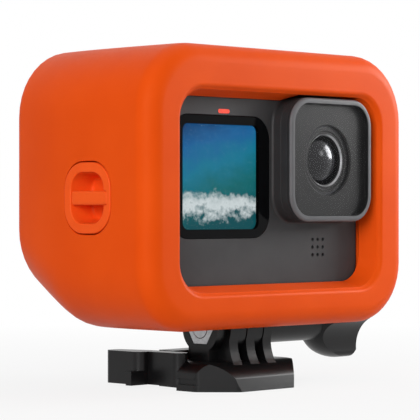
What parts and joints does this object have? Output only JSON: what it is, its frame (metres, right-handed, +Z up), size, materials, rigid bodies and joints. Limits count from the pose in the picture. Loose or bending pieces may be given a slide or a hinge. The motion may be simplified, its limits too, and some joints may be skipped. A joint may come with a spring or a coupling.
{
  "type": "action camera",
  "caption": "Action camera with a front screen and square lens cover, in a floating foam case on a quick-release buckle with a thumb screw.",
  "frame": {"origin": "on the ground below the middle of the foam case, in the plane of the buckle's underside", "axes": "the lens looks along -Y, +X is to the right of someone facing the lens, +Z up"},
  "size_m": [0.096, 0.052, 0.086],
  "materials": {
    "orange_foam": "matte",
    "orange_plastic": "satin",
    "body_rubber": "matte",
    "grey_plastic": "satin",
    "black_plastic": "satin",
    "screen_glass": "gloss",
    "clear_glass": "gloss",
    "front_picture": "gloss",
    "black_panel": "gloss",
    "red_light": "gloss",
    "green_board": "satin",
    "bare_metal": "satin",
    "dark_metal": "satin",
    "steel": "satin",
    "seal_rubber": "matte",
    "battery_skin": "satin",
    "copper_film": "satin"
  },
  "bodies": {
    "mount": {"buckle_base": "black_plastic", "hex_nut": "steel"},
    "camera_unit": {"foam_case": "orange_foam", "tether_insert": "orange_plastic", "tether_bar": "orange_plastic", "body_shell": "body_rubber", "front_bezel": "body_rubber", "lens_hood": "body_rubber", "front_screen_glass": "screen_glass", "rear_screen_glass": "screen_glass", "front_display": "front_picture", "rear_display": "black_panel", "status_led": "red_light", "rear_status_led": "red_light", "mic_mesh": "dark_metal", "microphone": "bare_metal", "lens_gasket": "seal_rubber", "door_seal": "seal_rubber", "lens_cover_frame": "grey_plastic", "lens_cover_glass": "clear_glass", "lens_barrel": "dark_metal", "lens_retaining_ring": "dark_metal", "lens_front_element": "clear_glass", "lens_rear_element": "clear_glass", "image_sensor": "black_panel", "sensor_board": "green_board", "main_board": "green_board", "shutter_switch_board": "green_board", "mode_switch_board": "green_board", "heat_spreader": "bare_metal", "board_screws": "steel", "battery": "battery_skin", "battery_pull_tab": "black_plastic", "memory_card": "black_plastic", "card_slot": "bare_metal", "usb_port": "steel", "speaker": "black_plastic", "front_flat_cable": "copper_film", "rear_flat_cable": "copper_film", "side_door": "body_rubber", "door_hinge_pin": "steel", "door_latch": "grey_plastic", "shutter_switch": "black_plastic", "mode_switch": "black_plastic", "rear_cover": "black_plastic", "finger_left": "black_plastic", "finger_right": "black_plastic", "finger_base": "black_plastic", "finger_hinge_pins": "steel"},
    "shutter_pad_body": {"shutter_pad": "orange_foam"},
    "mode_pad_body": {"mode_pad": "orange_foam"},
    "shutter_button_body": {"shutter_button": "grey_plastic"},
    "mode_button_body": {"mode_button": "grey_plastic"},
    "thumb_screw": {"thumb_screw_knob": "black_plastic", "thumb_screw_bolt": "steel"},
    "arm_left": {"buckle_arm_left": "black_plastic"},
    "arm_right": {"buckle_arm_right": "black_plastic"}
  },
  "joints": [
    {"name": "camera_tilt", "type": "hinge", "parent": "mount", "child": "camera_unit", "pos_m": [0, -0.0068, 0.0155], "axis": [1, 0, 0], "range_deg": [-20, 25]},
    {"name": "thumb_screw_turn", "type": "hinge", "parent": "mount", "child": "thumb_screw", "pos_m": [0.03, -0.0068, 0.0155], "axis": [1, 0, 0], "continuous": true},
    {"name": "arm_left_squeeze", "type": "hinge", "parent": "mount", "child": "arm_left", "pos_m": [-0.0155, -0.0034, 0.005], "axis": [0, 0, -1], "range_deg": [0, 6], "stiffness_Nm_per_rad": 2},
    {"name": "arm_right_squeeze", "type": "hinge", "parent": "mount", "child": "arm_right", "pos_m": [0.0155, -0.0034, 0.005], "axis": [0, 0, 1], "range_deg": [0, 6], "stiffness_Nm_per_rad": 2},
    {"name": "shutter_pad_press", "type": "slide", "parent": "camera_unit", "child": "shutter_pad_body", "axis": [0, 0, -1], "range_m": [0, 0.0008], "stiffness_N_per_m": 3000},
    {"name": "shutter_button_press", "type": "slide", "parent": "camera_unit", "child": "shutter_button_body", "axis": [0, 0, -1], "range_m": [0, 0.0008]},
    {"name": "mode_pad_press", "type": "slide", "parent": "camera_unit", "child": "mode_pad_body", "axis": [-1, 0, 0], "range_m": [0, 0.0008], "stiffness_N_per_m": 3000},
    {"name": "mode_button_press", "type": "slide", "parent": "camera_unit", "child": "mode_button_body", "axis": [-1, 0, 0], "range_m": [0, 0.0008]}
  ],
  "couplings": [
    {"joint": "shutter_button_press", "follows": "shutter_pad_press", "ratio": 1},
    {"joint": "mode_button_press", "follows": "mode_pad_press", "ratio": 1}
  ]
}
